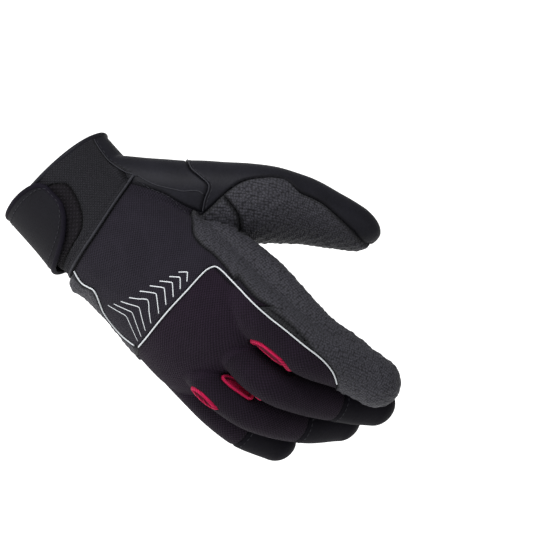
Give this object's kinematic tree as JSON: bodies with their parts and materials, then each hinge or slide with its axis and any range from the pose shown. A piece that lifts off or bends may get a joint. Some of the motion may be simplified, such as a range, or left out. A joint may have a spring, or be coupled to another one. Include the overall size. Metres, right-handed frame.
{
  "type": "anti-vibration glove",
  "caption": "Right-hand padded work glove, fingers gently curled, with a grip palm, ribbed back, piping, gussets, leather fingertips and a wrist strap.",
  "frame": {"origin": "centre of the cuff's opening, where a hand goes in", "axes": "+X along the hand to the fingertips, +Z to the thumb's side, -Y out of the back of the hand, +Y out of the palm"},
  "size_m": [0.2135, 0.1098, 0.1354],
  "materials": {
    "grip": "charcoal grip cloth with small raised dots",
    "back_fabric": "very dark navy stretch cloth with a fine diagonal rib",
    "loop_fabric": "brushed loop cloth",
    "smooth_leather": "smooth blue-black synthetic leather",
    "tip_leather": "matt black synthetic leather",
    "red_fabric": "crimson stretch cloth",
    "piping": "pale reflective piping",
    "strap": "black neoprene with a stitched edge"
  },
  "bodies": {
    "root": {"palm_grip": "grip", "thumb_pad": "grip", "back_panel": "back_fabric", "knuckle_panel": "back_fabric", "cuff_back": "loop_fabric", "cuff_gore": "smooth_leather", "thumb_outer": "smooth_leather", "cap_middle": "tip_leather", "cap_ring": "tip_leather", "cap_little": "tip_leather", "gusset_index_middle": "red_fabric", "gusset_middle_ring": "red_fabric", "gusset_ring_little": "red_fabric", "main_piping": "piping", "side_piping": "piping", "cuff_binding": "smooth_leather", "wrist_strap": "strap", "strap_rim": "tip_leather"}
  },
  "joints": []
}
